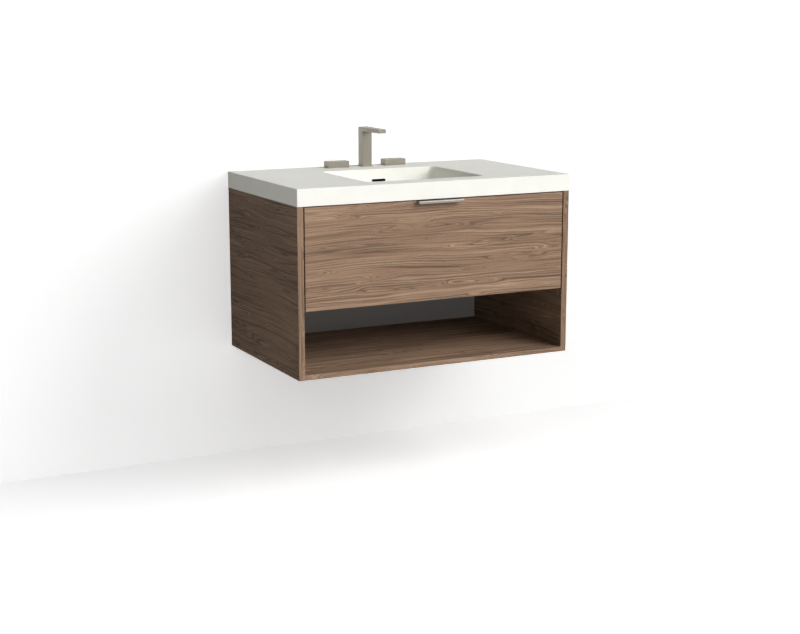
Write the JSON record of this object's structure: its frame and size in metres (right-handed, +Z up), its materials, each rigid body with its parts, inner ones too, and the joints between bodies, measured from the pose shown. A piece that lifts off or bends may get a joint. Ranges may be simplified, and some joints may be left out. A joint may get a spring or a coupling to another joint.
{
  "type": "floating bathroom vanity",
  "caption": "Wall-hung vanity: walnut box cabinet with a deep full-extension drawer over an open shelf, thick white counter with moulded basin and square widespread tap.",
  "frame": {"origin": "on the wall, midway between the two upper wall screws", "axes": "+X along the wall to the right seen from the front, +Y into the wall, +Z up; the front faces -Y"},
  "size_m": [0.9144, 0.5715, 0.6853],
  "materials": {
    "walnut_veneer": "satin walnut veneer, grain along X",
    "walnut_side": "satin walnut veneer, grain front to back",
    "walnut_edge": "satin walnut edge band",
    "birch_ply": "clear lacquered birch plywood",
    "solid_surface": "satin white cast solid surface",
    "duct_plastic": "moulded black plastic",
    "brushed_nickel": "brushed nickel",
    "bright_nickel": "satin bright metal",
    "zinc_steel": "zinc-plated steel",
    "raw_brass": "turned brass",
    "braided_steel": "braided stainless steel",
    "black_rubber": "matt rubber"
  },
  "bodies": {
    "cabinet": {"side_panel_left": "walnut_side", "side_panel_right": "walnut_side", "shelf_panel": "walnut_veneer", "drawer_deck": "walnut_veneer", "upper_wall_rail": "birch_ply", "lower_wall_rail": "birch_ply", "front_stretcher": "birch_ply", "edge_bands": "walnut_edge", "panel_dowels": "birch_ply", "corner_brackets": "zinc_steel", "bracket_screws": "zinc_steel", "drawer_bumpers": "black_rubber", "countertop_basin": "solid_surface", "overflow_duct": "duct_plastic", "drain_body": "bright_nickel", "drain_guide": "bright_nickel", "drain_gasket": "black_rubber", "drain_nut": "bright_nickel", "drain_tailpiece": "bright_nickel", "spout_body": "brushed_nickel", "spout_flange": "brushed_nickel", "spout_aerator": "zinc_steel", "spout_shank": "raw_brass", "spout_washer": "black_rubber", "spout_nut": "raw_brass", "mixing_tee": "raw_brass", "handle_escutcheons": "brushed_nickel", "hot_valve": "raw_brass", "cold_valve": "raw_brass", "valve_nuts": "raw_brass", "hot_hose": "braided_steel", "cold_hose": "braided_steel", "slide_outer_left": "zinc_steel", "slide_outer_right": "zinc_steel", "slide_screws_cabinet": "zinc_steel"},
    "drawer": {"drawer_front": "walnut_veneer", "drawer_pull": "bright_nickel", "pull_screws": "zinc_steel", "drawer_subfront": "birch_ply", "drawer_side_left": "birch_ply", "drawer_side_right": "birch_ply", "drawer_backs": "birch_ply", "notch_wall_left": "birch_ply", "notch_wall_right": "birch_ply", "notch_wall_front": "birch_ply", "drawer_bottom": "birch_ply", "front_screws": "zinc_steel", "slide_inner_left": "zinc_steel", "slide_inner_right": "zinc_steel", "slide_screws_drawer": "zinc_steel"},
    "slide_middles": {"slide_middle_left": "zinc_steel", "slide_middle_right": "zinc_steel"},
    "cages_outer": {"ball_cages_outer": "zinc_steel"},
    "cages_inner": {"ball_cages_inner": "zinc_steel"},
    "hot_lever": {"hot_handle": "brushed_nickel", "hot_stem": "raw_brass"},
    "cold_lever": {"cold_handle": "brushed_nickel", "cold_stem": "raw_brass"},
    "stopper": {"drain_stopper": "brushed_nickel"}
  },
  "joints": [
    {"name": "drawer_slide", "type": "slide", "parent": "cabinet", "child": "drawer", "axis": [0, -1, 0], "range_m": [0, 0.45]},
    {"name": "middle_slide", "type": "slide", "parent": "cabinet", "child": "slide_middles", "axis": [0, -1, 0], "range_m": [0, 0.225]},
    {"name": "outer_cage_slide", "type": "slide", "parent": "cabinet", "child": "cages_outer", "axis": [0, -1, 0], "range_m": [0, 0.1125]},
    {"name": "inner_cage_slide", "type": "slide", "parent": "cabinet", "child": "cages_inner", "axis": [0, -1, 0], "range_m": [0, 0.3375]},
    {"name": "hot_turn", "type": "hinge", "parent": "cabinet", "child": "hot_lever", "pos_m": [-0.1016, -0.044, 0.1008], "axis": [0, 0, 1], "range_deg": [0, 90]},
    {"name": "cold_turn", "type": "hinge", "parent": "cabinet", "child": "cold_lever", "pos_m": [0.1016, -0.044, 0.1008], "axis": [0, 0, 1], "range_deg": [-90, 0]},
    {"name": "stopper_lift", "type": "slide", "parent": "cabinet", "child": "stopper", "axis": [0, 0, 1], "range_m": [0, 0.008]}
  ],
  "couplings": [
    {"joint": "middle_slide", "follows": "drawer_slide", "ratio": 0.5},
    {"joint": "outer_cage_slide", "follows": "drawer_slide", "ratio": 0.25},
    {"joint": "inner_cage_slide", "follows": "drawer_slide", "ratio": 0.75}
  ]
}
